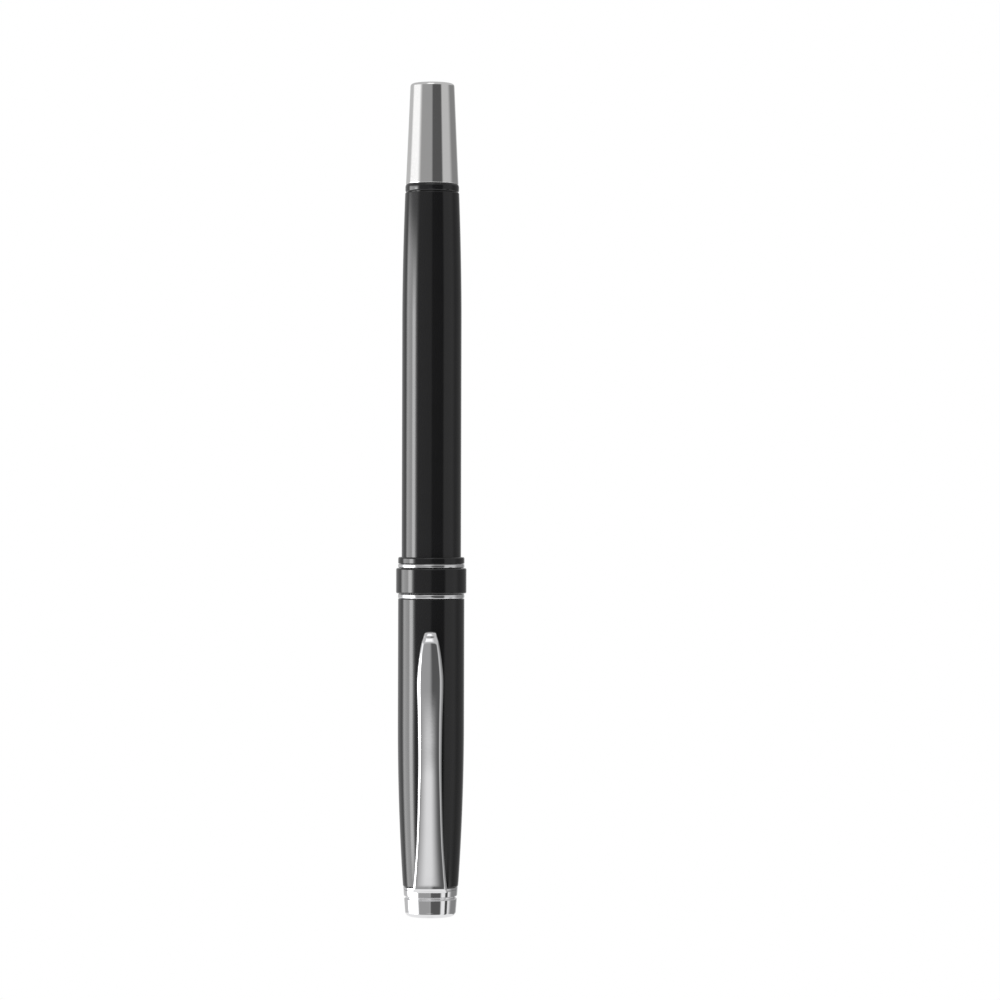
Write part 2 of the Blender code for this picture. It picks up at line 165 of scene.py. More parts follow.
def supported(outline, close=0.04, ratio=5.0):
    """Add a point near each end of a long span beside a short one, to keep corners crisp."""

    def length(i):
        (r0, z0), (r1, z1) = outline[i], outline[i + 1]
        return math.hypot(r1 - r0, z1 - z0)

    spans = [length(i) for i in range(len(outline) - 1)]
    points = [outline[0]]
    for i, span in enumerate(spans):
        (r0, z0), (r1, z1) = outline[i], outline[i + 1]
        before, after = spans[max(0, i - 1)], spans[min(i + 1, len(spans) - 1)]
        shares = []
        if span > max(ratio * before, 4 * close):
            shares.append(close / span)
        if span > max(ratio * after, 4 * close):
            shares.append(1 - close / span)
        points += [(r0 + (r1 - r0) * t, z0 + (z1 - z0) * t) for t in shares]
        points.append((r1, z1))
    return points


def turned(name, outline, sides=SIDES):
    """Spin a section about the pen's axis: closed, or open if both its ends are on the axis."""
    outline = supported(outline)
    bm = bmesh.new()
    ring = [bm.verts.new((r * MM, 0.0, z * MM)) for r, z in outline]
    edges = [bm.edges.new(pair) for pair in zip(ring, ring[1:])]
    if outline[0][0] != 0 or outline[-1][0] != 0:
        edges.append(bm.edges.new((ring[-1], ring[0])))
    bmesh.ops.spin(
        bm,
        geom=ring + edges,
        cent=(0, 0, 0),
        axis=(0, 0, 1),
        angle=math.tau,
        steps=sides,
        use_merge=True,
    )
    return add_mesh(name, bm)


def place(piece, body, nodes, look):
    """Give a piece its material and tie it to its CAD body, nodes and material slot."""
    piece.data.materials.clear()
    piece.data.materials.append(look)
    if body:
        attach(piece, body)
    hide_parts(*nodes)
    return piece


# ---------------------------------------------------------------- materials


class Nodes:
    """A material's node tree, with short calls for the nodes used here."""

    def __init__(self, name):
        self.material = bpy.data.materials.new(name)
        self.material.use_nodes = True
        self.tree = self.material.node_tree
        self.shader = self.tree.nodes["Principled BSDF"]

    def add(self, kind, **values):
        node = self.tree.nodes.new(kind)
        for key, value in values.items():
            if hasattr(node, key):
                setattr(node, key, value)
            else:
                node.inputs[key.replace("_", " ")].default_value = value
        return node

    def link(self, output, target):
        self.tree.links.new(output, target)

    def place(self, stretch=(1, 1, 1)):
        """Object coordinates, stretched."""
        source = self.add("ShaderNodeTexCoord")
        mapping = self.add("ShaderNodeMapping")
        mapping.inputs["Scale"].default_value = stretch
        self.link(source.outputs["Object"], mapping.inputs["Vector"])
        return mapping.outputs["Vector"]

    def noise(self, scale, detail=3.0, stretch=(1, 1, 1), roughness=0.5):
        node = self.add("ShaderNodeTexNoise")
        node.inputs["Scale"].default_value = scale
        node.inputs["Detail"].default_value = detail
        node.inputs["Roughness"].default_value = roughness
        self.link(self.place(stretch), node.inputs["Vector"])
        return node.outputs["Fac"]

    def between(self, value, low, high, start=0.3, end=0.7):
        """Map a value from start..end to low..high."""
        node = self.add("ShaderNodeMapRange")
        node.inputs["From Min"].default_value = start
        node.inputs["From Max"].default_value = end
        node.inputs["To Min"].default_value = low
        node.inputs["To Max"].default_value = high
        self.link(value, node.inputs["Value"])
        return node.outputs["Result"]

    def mixed(self, factor, one, other):
        node = self.add("ShaderNodeMix", data_type="RGBA")
        self.link(factor, node.inputs["Factor"])
        node.inputs["A"].default_value = (*one, 1)
        node.inputs["B"].default_value = (*other, 1)
        return node.outputs["Result"]

    def bump(self, height, strength, distance):
        node = self.add("ShaderNodeBump")
        node.inputs["Strength"].default_value = strength
        node.inputs["Distance"].default_value = distance
        self.link(height, node.inputs["Height"])
        self.link(node.outputs["Normal"], self.shader.inputs["Normal"])

    def set(self, **values):
        for key, value in values.items():
            self.shader.inputs[key.replace("_", " ")].default_value = value


def lacquer():
    """Deep black lacquer: a clear hard gloss with faint long polishing marks."""
    m = Nodes("black_lacquer")
    m.set(Metallic=0.0, IOR=1.5)
    tone = m.mixed(m.noise(350.0, 2.0), (0.0090, 0.0090, 0.0096), (0.0120, 0.0120, 0.0128))
    m.link(tone, m.shader.inputs["Base Color"])
    marks = m.noise(900.0, 4.0, stretch=(1, 1, 0.12))
    m.link(m.between(marks, 0.05, 0.08), m.shader.inputs["Roughness"])
    m.bump(m.noise(1600.0, 3.0, stretch=(1, 1, 0.3)), 0.05, 0.00002)
    return m.material


def black_plastic(name, low, high):
    """Moulded black plastic with a fine even grain."""
    m = Nodes(name)
    m.set(Metallic=0.0, IOR=1.5)
    tone = m.mixed(m.noise(500.0, 3.0), (0.004, 0.004, 0.0045), (0.008, 0.008, 0.009))
    m.link(tone, m.shader.inputs["Base Color"])
    m.link(m.between(m.noise(2500.0, 4.0), low, high), m.shader.inputs["Roughness"])
    m.bump(m.noise(5000.0, 3.0), 0.12, 0.00002)
    return m.material


def metal(name, dark, light, low, high, stretch=(1, 1, 1), grain=1500.0, deep=0.04):
    """Plated or turned metal: tone, gloss and a fine surface that vary together."""
    m = Nodes(name)
    m.set(Metallic=1.0)
    m.link(m.mixed(m.noise(260.0, 3.0, stretch), dark, light), m.shader.inputs["Base Color"])
    m.link(m.between(m.noise(grain, 4.0, stretch), low, high), m.shader.inputs["Roughness"])
    m.bump(m.noise(grain * 2, 3.0, stretch), deep, 0.00002)
    return m.material


def white_plastic():
    """Natural moulded plastic, a little translucent."""
    m = Nodes("white_plastic")
    m.set(Metallic=0.0, IOR=1.46, Subsurface_Weight=0.15, Subsurface_Scale=0.001)
    tone = m.mixed(m.noise(400.0, 3.0), (0.66, 0.65, 0.62), (0.76, 0.755, 0.73))
    m.link(tone, m.shader.inputs["Base Color"])
    m.link(m.between(m.noise(1800.0, 3.0), 0.3, 0.45), m.shader.inputs["Roughness"])
    m.bump(m.noise(3000.0, 3.0), 0.1, 0.00002)
    return m.material


def ink_fibre():
    """Bundled fibre soaked with ink, drawn along the pen."""
    m = Nodes("ink_fibre")
    m.set(Metallic=0.0)
    strands = m.noise(3000.0, 4.0, stretch=(1, 1, 0.04))
    tone = m.mixed(m.between(strands, 0, 1), (0.006, 0.008, 0.035), (0.03, 0.04, 0.12))
    m.link(tone, m.shader.inputs["Base Color"])
    m.link(m.between(strands, 0.55, 0.9), m.shader.inputs["Roughness"])
    m.bump(strands, 0.4, 0.0001)
    return m.material


LOOKS = {
    "lacquer": lacquer(),
    "gloss_plastic": black_plastic("black_gloss_plastic", 0.12, 0.18),
    "satin_plastic": black_plastic("black_satin_plastic", 0.35, 0.5),
    "chrome": metal("chrome", (0.83, 0.83, 0.84), (0.87, 0.87, 0.88), 0.03, 0.05),
    "tail": metal("tail_chrome", (0.83, 0.825, 0.82), (0.87, 0.865, 0.86), 0.05, 0.08),
    "steel": metal("drawn_steel", (0.5, 0.5, 0.5), (0.6, 0.6, 0.6), 0.2, 0.34, (1, 1, 0.05)),
    "brass": metal(
        "turned_brass", (0.62, 0.43, 0.17), (0.75, 0.55, 0.24), 0.15, 0.3, (0.1, 0.1, 1)
    ),
    "carbide": metal("carbide", (0.32, 0.32, 0.33), (0.4, 0.4, 0.41), 0.1, 0.16),
    "white": white_plastic(),
    "fibre": ink_fibre(),
}


# ---------------------------------------------------------------- cap


def make_crown():
    """Finial: flat end, round edge, conical flank with one round-bottomed groove."""
    edge, low_side, top_edge = 0.8, 4.16, 0.05
    groove, half, deep, lip = 3.15, 0.24, 0.2, 0.05
    screw_hole, screw_depth = 1.25, 1.9

    def flank(z):
        along = (z - edge) / (CROWN_TOP - edge)
        return low_side + (CROWN_RADIUS - low_side) * along

    def hollow(z):
        return flank(z) - deep * (1 - ((z - groove) / half) ** 2) ** 0.5 - lip

    low, high = groove - half, groove + half
    outline = [(0, 0)]
    outline += arc(low_side - edge, edge, edge, -90, 0, 18)
    outline += swept(flank, edge, low - lip, 10)[1:]
    outline += [(flank(low) - lip, low)] + swept(hollow, low + 0.01, high - 0.01, 12)
    outline += [(flank(high) - lip, high)]
    outline += swept(flank, high + lip, CROWN_TOP - top_edge, 8)
    outline += arc(CROWN_RADIUS - top_edge, CROWN_TOP - top_edge, top_edge, 0, 90, 4)[1:]
    outline += [(screw_hole, CROWN_TOP), (screw_hole, screw_depth), (0, screw_depth)]
    place(turned("crown_finial", outline), "cap", ["crown"], LOOKS["chrome"])


def make_cap_tube():
    """Drawn tube, lacquered, with a closed tapering end and a rolled mouth."""
    floor, hole, round_end, lip = 0.9, 1.35, 0.22, 0.1

    def bore(z):
        return cap_radius(z) - CAP_WALL

    taper_end = CAP_LOW + CAP_TAPER
    outline = [(hole, CAP_LOW)]
    outline += arc(cap_radius(CAP_LOW) - round_end, CAP_LOW + round_end, round_end, -90, 0, 6)
    outline += swept(cap_radius, CAP_LOW + round_end, taper_end, 40)[1:]
    outline += arc(CAP_RADIUS - lip, CAP_TOP - lip, lip, 0, 90, 5)
    outline += [(CAP_RADIUS - CAP_WALL, CAP_TOP)]
    outline += reversed(swept(bore, CAP_LOW + floor, taper_end, 20))
    outline += [(hole, CAP_LOW + floor)]
    place(turned("cap_shell", outline), "cap", ["cap_tube"], LOOKS["lacquer"])


def ring_outline(node, low_ease, high_ease, bore):
    """A flat ring's section with a round edge at each end."""
    low, high, radius = extent(node)
    outline = [(bore, low)]
    outline += arc(radius - low_ease, low + low_ease, low_ease, -90, 0, 6)
    outline += arc(radius - high_ease, high - high_ease, high_ease, 0, 90, 6)
    return outline + [(bore, high)]


def domed_outline(node, bore, drop):
    """A ring's section: upright in its middle, rounded over by a drop at each end."""
    low, high, radius = extent(node)
    middle, half, steps = (low + high) / 2, (high - low) / 2, 20
    outline = [(bore, low)]
    for i in range(steps + 1):
        lean = 2 * i / steps - 1
        outline.append((radius - drop * abs(lean) ** 5, middle + half * lean))
    return outline + [(bore, high)]


def make_cap_rings():
    """The two chrome trim rings, the wide band between them and the lip ring."""
    bore = extent("mouth_bush")[2] + 0.05
    for node, name in (("lower_trim_ring", "cap_trim_low"), ("upper_trim_ring", "cap_trim_high")):
        ring = turned(name, domed_outline(node, bore, TRIM_DROP))
        place(ring, "cap", [node], LOOKS["chrome"])
    low, high, radius = extent("centre_band")
    step, ease = CAP_RADIUS - 0.06, 0.26
    band = [(bore, low), (step, low)]
    band += arc(radius - ease, low + ease, ease, -90, 0, 12)
    band += arc(radius - ease, high - ease, ease, 0, 90, 12)
    band += [(step, high), (bore, high)]
    band = turned("cap_band", band)
    place(band, "cap", ["centre_band"], LOOKS["lacquer"])
    lip = turned("cap_lip", ring_outline("lip_ring", 0.1, 0.26, bore))
    place(lip, "cap", ["lip_ring"], LOOKS["lacquer"])


def make_inner_cap():
    """Moulded liner with six shallow ribs inside that guide the nose."""
    low, high, _ = extent("inner_cap")
    wall, floor, hole, ribs, rib = 0.5, 0.95, 1.35, 6, 0.12

    def outside(z):
        return cap_radius(z) - CAP_WALL - 0.1

    outline = [(hole, low)] + swept(outside, low, high - 0.1, 24)
    outline += arc(outside(high) - 0.25, high - 0.25, 0.25, 0, 180, 8)
    outline += reversed(swept(lambda z: outside(z) - wall, low + floor, high - 0.3, 24))
    outline += [(hole, low + floor)]
    liner = turned("cap_liner", outline)
    for vertex in liner.data.vertices:
        x, y, z = vertex.co
        radius = math.hypot(x, y)
        inner = radius < (outside(z / MM) - wall * 0.8) * MM
        if inner and (low + floor + 1) * MM < z < (high - 1) * MM:
            wave = max(0.0, math.cos(ribs * math.atan2(y, x))) ** 8
            vertex.co.x -= x / radius * rib * MM * wave
            vertex.co.y -= y / radius * rib * MM * wave
    place(liner, "cap", ["inner_cap"], LOOKS["white"])


# ---------------------------------------------------------------- clip


CLIP_SHEET = 0.34
CLIP_CREASE = 0.26
CLIP_EDGE_ROUND = 0.15
CLIP_FACE_TURN = 9.0  # degrees that the face turns from its middle to the crease
CLIP_CREASE_TURN = (12.0, 30.0)  # degrees at the inner and outer side of each strip
CLIP_BEVEL_TURN = (36.0, 54.0)
CLIP_EDGE_TURN = (60.0, 82.0)
CLIP_ROOT = 5.4
CLIP_ROOT_HALF = 2.75

clip_half_width = through(
    [(4.6, 2.78), (7.8, 2.52), (12.0, 2.22), (17.2, 2.04), (25.0, 1.92), (32.0, 1.99)]
    + [(39.0, 2.15), (42.2, 1.90), (45.1, 1.46), (47.1, 1.0)]
)
clip_face = through(
    [(4.6, 7.3), (5.4, 7.40), (6.0, 7.44), (8.6, 7.58), (13.5, 7.79), (21.4, 8.11)]
    + [(29.0, 8.165), (37.4, 8.175), (39.4, 8.10), (41.6, 7.97), (45.1, 7.68), (47.1, 7.25)]
)
clip_side = through(  # width of crease, bevel and rounded edge together
    [(4.6, 0.58), (10.0, 0.5), (20.0, 0.54), (33.0, 0.68), (40.0, 0.74), (47.1, 0.6)]
)
clip_edge = through(
    [(4.6, 5.02), (5.4, 5.10), (6.6, 5.36), (8.6, 5.72), (13.9, 6.06), (20.7, 6.60), (36.6, 6.62)]
    + [(38.6, 6.40), (39.9, 5.86), (41.9, 5.30), (43.2, 5.36), (44.5, 5.66)]
    + [(45.3, 5.95), (47.1, 5.75)]
)


def clip_rows():
    """Stations along the clip: height, half width, face distance, flange edge distance."""
    low, high, steps, bend, heel = 5.5, 46.1, 128, 0.95, 6.45
    tip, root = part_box("clip")[1].z / MM, RING_LOW
    rows = []
    for i in range(steps + 1):
        z = low + (high - low) * i / steps
        rows.append((z, clip_half_width(z), clip_face(z), clip_edge(z)))
    last = rows[-1]
    base = [(root, CLIP_ROOT_HALF, CLIP_ROOT + 0.04, CLIP_ROOT)]
    base.append((root, CLIP_ROOT_HALF, heel - 0.3, CLIP_ROOT + 0.01))
    for out, up in arc(heel, root + bend, bend, -90, -10, 14):
        edge = max(clip_edge(up), CLIP_ROOT + 0.02 - max(0.0, up - RING_TOP))
        base.append((up, CLIP_ROOT_HALF, out, edge))
    end, turn, corner, point, end_steps = [], 0.85, 0.42, 0.42, 14
    end_edge, closing_face, closing_edge = 5.78, 5.84, 5.76
    for i in range(1, end_steps + 1):
        along = math.sin(math.radians(90 * i / end_steps))
        up = last[0] + (tip - last[0]) * along
        out = last[2] - turn * (1 - (1 - along**2) ** 0.5)
        into = max(0.0, 1 - (tip - up) / corner)
        half = clip_half_width(up) - (1 - (1 - into**2) ** 0.5) * point
        end.append((up, half, out, end_edge))
    return base + rows + end + [(tip, end[-1][1] - 0.04, closing_face, closing_edge)]


def clip_section(z, half, face, edge, steps=14):
    """Across the channel: side, bevel and convex face by the direction that each faces."""
    bevel = clip_side(z)
    flat = half - bevel
    scale = min(1.0, 0.9 * (face - edge) / bevel)
    x, y = 0.0, face
    right = [(x, y)]

    def go(width, start, end, count):
        nonlocal x, y
        for i in range(count):
            lean = math.radians(start + (end - start) * (i + 0.5) / count)
            x += width / count
            y -= math.tan(lean) * width / count * scale
            right.append((x, y))

    go(flat, 0.0, CLIP_FACE_TURN, steps)
    go(CLIP_CREASE, *CLIP_CREASE_TURN, 7)
    go(bevel - CLIP_CREASE - CLIP_EDGE_ROUND, *CLIP_BEVEL_TURN, 8)
    go(CLIP_EDGE_ROUND, *CLIP_EDGE_TURN, 5)
    right = [(x, max(edge + 0.004, y)) for x, y in right]
    low = max(edge, min(y, edge + 0.9 * (face - edge)))
    right += [(half, edge + (low - edge) * share) for share in (0.8, 0.4)] + [(half, edge)]
    return [(-x, y) for x, y in reversed(right[1:])] + right


def clip_arm_mesh():
    """Outer and inner skins of the pressed channel, joined along every edge."""
    rows = clip_rows()
    low, high, reach = rows[0][0], rows[-1][0], 1.3
    bm = bmesh.new()
    skins = []
    for inset in (0.0, CLIP_SHEET):
        skin = []
        for z, half, face, edge in rows:
            lift = max(0.0, 1 - (z - low) / reach) - max(0.0, 1 - (high - z) / reach)
            inner = max(edge + 0.03, face - inset)
            across = clip_section(z, half - inset, inner, edge)
            height = (z + inset * lift) * MM
            skin.append([bm.verts.new((x * MM, -y * MM, height)) for x, y in across])
        skins.append(skin)
    outer, inner = skins
    across, along = len(outer[0]), len(rows)
    for i in range(along - 1):
        for j in range(across - 1):
            bm.faces.new((outer[i][j], outer[i][j + 1], outer[i + 1][j + 1], outer[i + 1][j]))
            bm.faces.new((inner[i][j + 1], inner[i][j], inner[i + 1][j], inner[i + 1][j + 1]))
    for i in range(along - 1):
        for j in (0, across - 1):
            bm.faces.new((outer[i][j], inner[i][j], inner[i + 1][j], outer[i + 1][j]))
    for j in range(across - 1):
        for i in (0, along - 1):
            bm.faces.new((outer[i][j], outer[i][j + 1], inner[i][j + 1], inner[i][j]))
    return add_mesh("clip_pressing", bm)


def clip_ring_mesh():
    """The flat ring and its tab, which runs out under the arm."""
    ring, tab_half, tab_end = CROWN_RADIUS + 0.01, 2.6, CLIP_ROOT + 0.03
    corner, foot = math.atan2(tab_end, tab_half), math.acos(tab_half / ring)
    marked = [-corner, -foot, corner - math.pi, foot - math.pi]
    even = [math.tau * i / SIDES - math.pi for i in range(SIDES)]
    angles = sorted(marked + [a for a in even if all(abs(a - m) > 0.01 for m in marked)])

    def reach(a):
        if abs(math.cos(a)) * ring > tab_half + 1e-6 or math.sin(a) > 0:
            return ring
        side = tab_half / max(1e-9, abs(math.cos(a)))
        return max(ring, min(side, tab_end / -math.sin(a)))

    bm = bmesh.new()

    def loop(radius, z):
        return [
            bm.verts.new((radius(a) * math.cos(a) * MM, radius(a) * math.sin(a) * MM, z * MM))
            for a in angles
        ]

    ease = 0.03
    layers = [
        loop(lambda a: SCREW_HOLE, RING_LOW),
        loop(lambda a: reach(a) - ease, RING_LOW),
        loop(reach, RING_LOW + ease),
        loop(reach, RING_TOP - ease),
        loop(lambda a: reach(a) - ease, RING_TOP),
        loop(lambda a: SCREW_HOLE, RING_TOP),
    ]
    for one, other in zip(layers, layers[1:] + layers[:1]):
        for i in range(len(angles)):
            j = (i + 1) % len(angles)
            bm.faces.new((one[i], one[j], other[j], other[i]))
    return add_mesh("clip_washer", bm)


def make_clip():
    """The clip's ring and arm, one pressing on the real pen, as two meshes: the ring goes with
    the cap, the arm with no body.
    """
    ring, arm = clip_ring_mesh(), clip_arm_mesh()
    place(ring, "cap", ["clip_ring"], LOOKS["chrome"])
    place(arm, None, ["clip"], LOOKS["chrome"])
    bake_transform(arm)


# ---------------------------------------------------------------- barrel


def make_barrel():
    """Barrel tube, its joint ring and the tail."""
    rim, bore, rear_bore, rear_low, straight_end = 0.15, 4.36, 3.95, 110.0, 78.0
    outline = [(bore, BARREL_LOW)]
    outline += arc(BARREL_RADIUS - rim, BARREL_LOW + rim, rim, -90, 0, 6)
    outline += [(BARREL_RADIUS, straight_end)]
    outline += swept(barrel_radius, BARREL_TAPER_LOW, BARREL_TOP - 0.12, 30)
    outline += arc(BARREL_TOP_RADIUS - 0.1, BARREL_TOP - 0.1, 0.1, 0, 90, 4)
    outline += [(rear_bore, BARREL_TOP), (rear_bore, rear_low), (bore, rear_low - 0.4)]
    shell = turned("barrel_shell", outline)
    place(shell, "barrel", ["barrel_tube"], LOOKS["lacquer"])

    low, high, radius = extent("joint_ring")
    middle, half, swell = (low + high) / 2, (high - low) / 2, 0.14
    spigot, spigot_low = rear_bore - 0.02, BARREL_TOP - 0.35
    lip, lip_top = TAIL_SOCKET + 0.4, TAIL_LOW - 0.002

    def ring(z):
        return radius - swell * ((z - middle) / half) ** 4

    outline = [(TAIL_SOCKET, spigot_low), (spigot, spigot_low), (spigot, low)]
    outline += swept(ring, low, high, 20)
    outline += [(lip, high), (lip, lip_top), (TAIL_SOCKET, lip_top)]
    piece = turned("barrel_joint_ring", outline)
    place(piece, "barrel", ["joint_ring"], LOOKS["lacquer"])

    edge, ease, well, well_top, step = 0.5, 0.12, 3.1, 134.6, 127.1
    top = tail_radius(TAIL_TOP - edge)
    outline = [(0, well_top), (well, well_top), (well, step), (TAIL_SOCKET, step)]
    outline += [(TAIL_SOCKET, TAIL_LOW)]
    outline += arc(TAIL_RADIUS - ease, TAIL_LOW + ease, ease, -90, 0, 5)
    outline += swept(tail_radius, TAIL_LOW + ease + 0.1, TAIL_TOP - edge, 10)
    outline += arc(top - edge, TAIL_TOP - edge, edge, 6, 90, 12)
    outline += [(0, TAIL_TOP)]
    place(turned("tail_shell", outline), "barrel", ["tail_cone"], LOOKS["tail"])


# ---------------------------------------------------------------- section and refill


def threaded(name, low, high, bore, radius, pitch, deep, starts=2):
    """A tube with a real helical thread cut in its outside."""
    sides, per_pitch, fade, lead_in = 120, 10, 0.8, 0.15
    rows = int((high - low) / pitch * per_pitch)
    bm = bmesh.new()
    outside, inside = [], []
    for i in range(rows + 1):
        z = low + (high - low) * i / rows
        runout = min(1.0, (z - low) / fade, (high - z) / fade)
        ring = []
        for j in range(sides):
            a = math.tau * j / sides
            turn = (z / pitch - starts * a / math.tau) % 1.0
            cut = deep * max(0.0, min(1.0, runout)) * (1 - abs(2 * turn - 1))
            r = (radius - cut - lead_in * max(0.0, 1 - runout * 2)) * MM
            ring.append(bm.verts.new((r * math.cos(a), r * math.sin(a), z * MM)))
        outside.append(ring)
    for z in (low, high):
        ring = []
        for j in range(sides):
            a, r = math.tau * j / sides, bore * MM
            ring.append(bm.verts.new((r * math.cos(a), r * math.sin(a), z * MM)))
        inside.append(ring)
    bands = [inside[0]] + outside + [inside[1]]
    for one, other in zip(bands, bands[1:] + bands[:1]):
        for j in range(sides):
            k = (j + 1) % sides
            bm.faces.new((one[j], one[k], other[k], other[j]))
    return add_mesh(name, bm)


def make_section():
    """Grip, chrome ring, threaded tube and nose."""
    spigot, spigot_low, narrow, step, thread_low = 2.95, GRIP_LOW, 2.3, 36.0, 49.9
    rear_bore, bore, foot = 3.75, 3.1, 26.0
    grip = through([(foot, 3.72), (32.0, 3.80), (44.0, 4.02), (GRIP_TOP, 4.32)])
    outline = [(narrow, spigot_low), (spigot, spigot_low), (spigot, foot)]
    outline += arc(grip(foot) - 0.12, foot + 0.12, 0.12, -90, 0, 5)
    outline += swept(grip, foot + 0.2, GRIP_TOP - 0.25, 30)
    outline += arc(grip(GRIP_TOP) - 0.2, GRIP_TOP - 0.2, 0.2, 0, 90, 6)
    outline += [(rear_bore, GRIP_TOP), (rear_bore, thread_low), (bore, thread_low)]
    outline += [(bore, step), (narrow, step)]
    shell = turned("grip_shell", outline)
    place(shell, "section", ["grip_section"], LOOKS["gloss_plastic"])

    ring = turned("section_trim", ring_outline("section_ring", 0.3, 0.3, rear_bore))
    place(ring, "section", ["section_ring"], LOOKS["chrome"])

    low, high, radius = extent("section_thread")
    pitch, deep = 0.75, 0.22
    thread = threaded("section_screw_tube", low, high, bore, radius, pitch, deep)
    place(thread, "section", ["section_thread"], LOOKS["brass"])

    point, seat, socket, groove = 1.0, 20.0, 3.02, 24.9
    seat_hole, socket_floor = 2.35, 20.9
    nose = through([(NOSE_LOW, 1.42), (19.0, 2.22), (22.5, 3.14), (foot, 3.70)])
    outline = [(point, NOSE_LOW)] + arc(nose(NOSE_LOW) - 0.18, NOSE_LOW + 0.18, 0.18, -90, 0, 6)
    outline += swept(nose, NOSE_LOW + 0.25, groove - 0.15, 26)
    outline += [(nose(groove) - 0.12, groove)]
    outline += swept(nose, groove + 0.15, NOSE_TOP - 0.1, 4)
    outline += [(nose(NOSE_TOP) - 0.1, NOSE_TOP), (socket, NOSE_TOP), (socket, socket_floor)]
    outline += [(seat_hole, socket_floor), (seat_hole, seat), (point, seat)]
    place(turned("nose_shell", outline), "section", ["nose_cone"], LOOKS["chrome"])


def make_point():
    """The needle tube with its rolled end, and the ball in it."""
    needle, shank, bore, rear_bore, rolled, fillet = 0.35, 0.88, 0.28, 0.5, 0.1, 0.3
    needle_top, shoulder, shank_low, shank_top = 15.2, 16.7, 16.95, 24.0
    bore_top, rear_low, low = 16.6, 17.2, extent("needle_tip")[0]
    outline = [(bore, low)] + arc(needle - rolled, low + 0.12, rolled, -60, 0, 5)
    outline += [(needle, needle_top)]
    outline += arc(needle + fillet, needle_top, fillet, 180, 145, 5)[1:]
    outline += [(shank - 0.1, shoulder), (shank, shank_low), (shank, shank_top)]
    outline += [(rear_bore, shank_top), (rear_bore, rear_low), (bore, bore_top)]
    tip = turned("needle_point", outline, 96)
    place(tip, "refill", ["needle_tip"], LOOKS["steel"])
    low, high, radius = extent("writing_ball")
    ball = arc(0, (low + high) / 2, radius, -90, 90, 32)
    ball[0], ball[-1] = (0, low), (0, high)
    piece = turned("point_ball", ball, 64)
    place(piece, "ball", ["writing_ball"], LOOKS["carbide"])


def make_spring():
    """The refill's spring, with closed end turns, on its own body and with its own mesh."""
    low, high, coil_and_wire = extent("refill_spring")
    wire, turns, per_turn, sides = 0.2, 7, 48, 12
    coil, end_turn, end_rise = coil_and_wire - wire, 1 / 7, 0.05
    rise = through([(0.0, 0.0), (end_turn, end_rise), (1 - end_turn, 1 - end_rise), (1.0, 1.0)])
    count = turns * per_turn
    bm = bmesh.new()
    rings = []
    for i in range(count + 1):
        a = math.tau * i / per_turn
        centre_z = low + wire + (high - low - 2 * wire) * rise(i / count)
        ring = []
        for j in range(sides):
            b = math.tau * j / sides
            r, z = coil + wire * math.cos(b), centre_z + wire * math.sin(b)
            ring.append(bm.verts.new((r * math.cos(a) * MM, r * math.sin(a) * MM, z * MM)))
        rings.append(ring)
    for one, other in zip(rings, rings[1:]):
        for j in range(sides):
            k = (j + 1) % sides
            bm.faces.new((one[j], one[k], other[k], other[j]))
    bm.faces.new(rings[0])
    bm.faces.new(rings[-1][::-1])
    spring = add_mesh("refill_coil", bm)
    place(spring, "spring", ["refill_spring"], LOOKS["steel"])
    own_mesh(spring)


def keep_hidden_pieces():
    """CAD pieces whose shape is right keep it and take a full material."""
    looks = {
        "crown_screw": "steel",
        "mouth_bush": "satin_plastic",
        "refill_tube": "steel",
        "refill_plug": "white",
        "ink_reservoir": "fibre",
        "tip_holder": "white",
        "feed_rod": "fibre",
        "barrel_insert": "brass",
        "tail_insert": "brass",
    }
    for node, look in looks.items():
        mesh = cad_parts[node].data
        mesh.materials.clear()
        mesh.materials.append(LOOKS[look])


# ---------------------------------------------------------------- studio


# A plain studio in an even pale room: a white table, dark cloth on the viewer's side, a tall
# softbox with a brighter front edge on the left, a card low in front, a small black flag on
# the right and a card overhead. Left and right are azimuths in degrees, 0 towards the viewer
# and + to the right; low and high are the sine of the elevation. Each panel covers the ones
# before it.
ROOM = 0.55
PANELS = [
    # left, right, low, high, edge softness, radiance
    (-200, 200, -1.0, -0.2, 4, 0.9),  # white table, all round
    (-54, 0, -0.5, 0.3, 5, 0.35),  # dark cloth, left of the viewer
    (0, 48, -0.5, 0.3, 5, 0.1),  # dark cloth, right of the viewer
    (95, 155, -0.4, 0.3, 12, 0.25),  # far end of the right wall
    (-112, -62, -0.3, 0.12, 8, 5.0),  # tall softbox
    (-80, -66, -0.2, 0.08, 4, 10.0),  # its front edge
    (-112, -62, 0.13, 0.3, 8, 1.1),  # its dim top
    (-14, 8, -0.24, -0.07, 9, 0.8),  # low card in front
    (68, 82, -0.5, -0.2, 3, 0.06),  # black flag, low on the right
    (-30, 10, 0.4, 0.9, 8, 1.2),  # overhead card
]
HEIGHT_SOFTNESS = 0.03


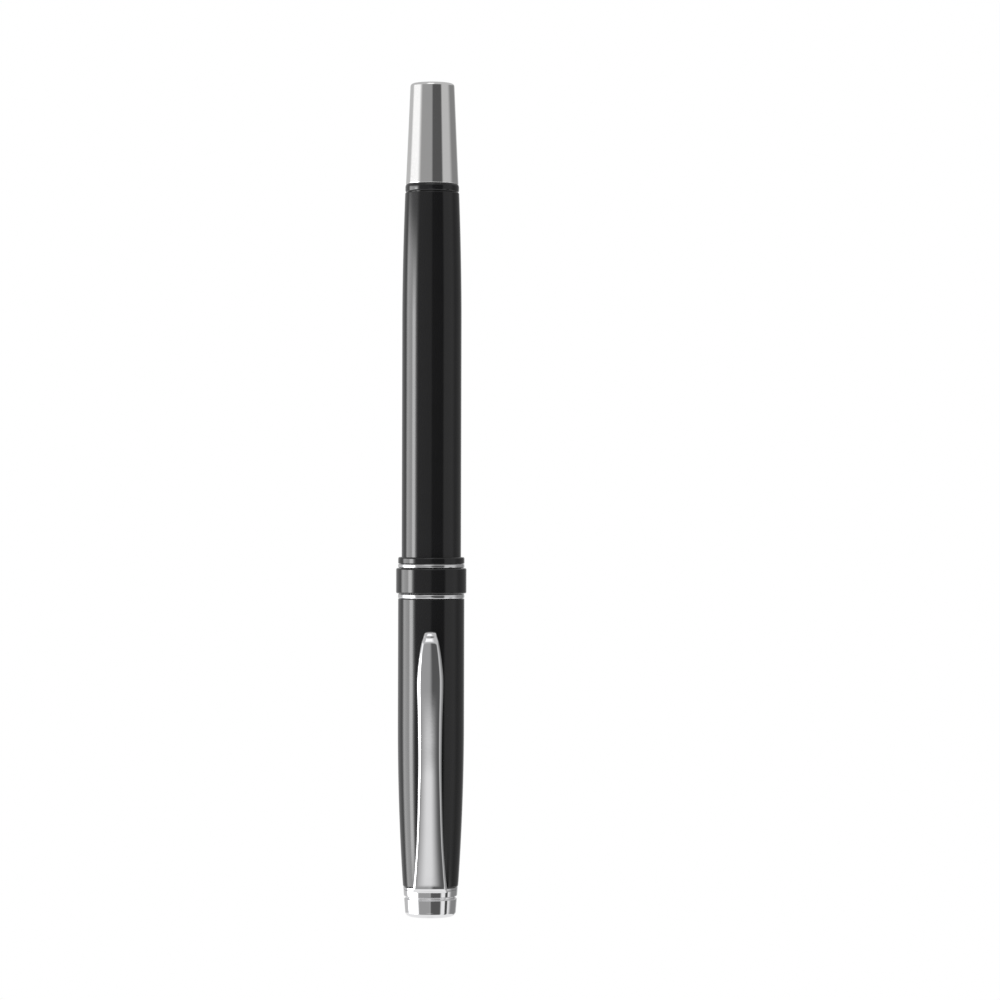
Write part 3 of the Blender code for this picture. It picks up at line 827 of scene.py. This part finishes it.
def make_studio_light():
    """The panels as a world whose brightness depends on the direction."""
    world = bpy.data.worlds.new("studio")
    bpy.context.scene.world = world
    world.use_nodes = True
    tree = world.node_tree
    nodes, links = tree.nodes, tree.links

    def math_node(operation, *inputs):
        node = nodes.new("ShaderNodeMath")
        node.operation = operation
        for slot, value in zip(node.inputs, inputs):
            if isinstance(value, (int, float)):
                slot.default_value = value
            else:
                links.new(value, slot)
        return node.outputs[0]

    def between(value, start, end, soft):
        """1 from start to end, falling smoothly to 0 outside."""
        sides = []
        for at, outside, inside in ((start, 0, 1), (end, 1, 0)):
            span = nodes.new("ShaderNodeMapRange")
            span.interpolation_type = "SMOOTHSTEP"
            span.inputs["From Min"].default_value = at - soft
            span.inputs["From Max"].default_value = at + soft
            span.inputs["To Min"].default_value = outside
            span.inputs["To Max"].default_value = inside
            links.new(value, span.inputs["Value"])
            sides.append(span.outputs["Result"])
        return math_node("MULTIPLY", *sides)

    direction = nodes.new("ShaderNodeSeparateXYZ")
    links.new(nodes.new("ShaderNodeTexCoord").outputs["Generated"], direction.inputs[0])
    x, y, height = direction.outputs
    turn = math_node("ARCTAN2", x, math_node("MULTIPLY", y, -1.0))
    azimuth = math_node("MULTIPLY", turn, math.degrees(1))

    light = ROOM
    for left, right, low, high, soft, radiance in PANELS:
        across = between(azimuth, left, right, soft)
        share = math_node("MULTIPLY", across, between(height, low, high, HEIGHT_SOFTNESS))
        change = math_node("SUBTRACT", radiance, light)
        light = math_node("MULTIPLY_ADD", share, change, light)
    links.new(light, nodes["Background"].inputs["Strength"])
    nodes["Background"].inputs["Color"].default_value = (1, 1, 1, 1)


def plain_white(name):
    made = bpy.data.materials.new(name)
    made.use_nodes = True
    tree = made.node_tree
    tree.nodes.clear()
    glow = tree.nodes.new("ShaderNodeEmission")
    glow.inputs["Color"].default_value = (1, 1, 1, 1)
    glow.inputs["Strength"].default_value = 1.0
    out = tree.nodes.new("ShaderNodeOutputMaterial")
    tree.links.new(glow.outputs[0], out.inputs["Surface"])
    return made


def make_backdrop():
    """White floor and surround, lit evenly; the pen's light comes from the world."""
    surround_radius, floor_radius, below = 2.0, 1.9, 0.0002
    bm = bmesh.new()
    bmesh.ops.create_uvsphere(bm, u_segments=48, v_segments=24, radius=surround_radius)
    surround = add_mesh("surround", bm)
    bm = bmesh.new()
    bmesh.ops.create_circle(bm, cap_ends=True, segments=96, radius=floor_radius)
    bmesh.ops.translate(bm, vec=(0, 0, -below), verts=bm.verts)
    floor = add_mesh("floor", bm)
    white = plain_white("white_sweep")
    for thing in (surround, floor):
        thing.data.materials.append(white)
        thing.visible_glossy = False
        thing.visible_diffuse = False
        thing.visible_transmission = False
        thing.visible_shadow = False


def make_camera():
    """Level view of the standing pen from the clip's side, pen a little left of the middle."""
    distance, lens, sensor, left, roll = 0.5763, 126.0, 36.0, 11.28, math.radians(0.14)
    camera = bpy.data.cameras.new("camera")
    camera.lens = lens
    camera.sensor_width = sensor
    camera.clip_start, camera.clip_end = 0.01, 10.0
    thing = bpy.data.objects.new("camera", camera)
    bpy.context.collection.objects.link(thing)
    facing = Euler((math.pi / 2, 0, 0)).to_matrix() @ Matrix.Rotation(roll, 3, "Z")
    standpoint = Matrix.Translation((left * MM, -distance, PEN_LENGTH / 2 * MM))
    thing.matrix_world = standpoint @ facing.to_4x4()
    scene = bpy.context.scene
    scene.camera = thing
    scene.view_settings.view_transform = "Standard"
    scene.view_settings.look = "None"


make_camera()
make_studio_light()
make_backdrop()
make_crown()
make_cap_tube()
make_cap_rings()
make_inner_cap()
make_clip()
make_barrel()
make_section()
make_point()
make_spring()
keep_hidden_pieces()
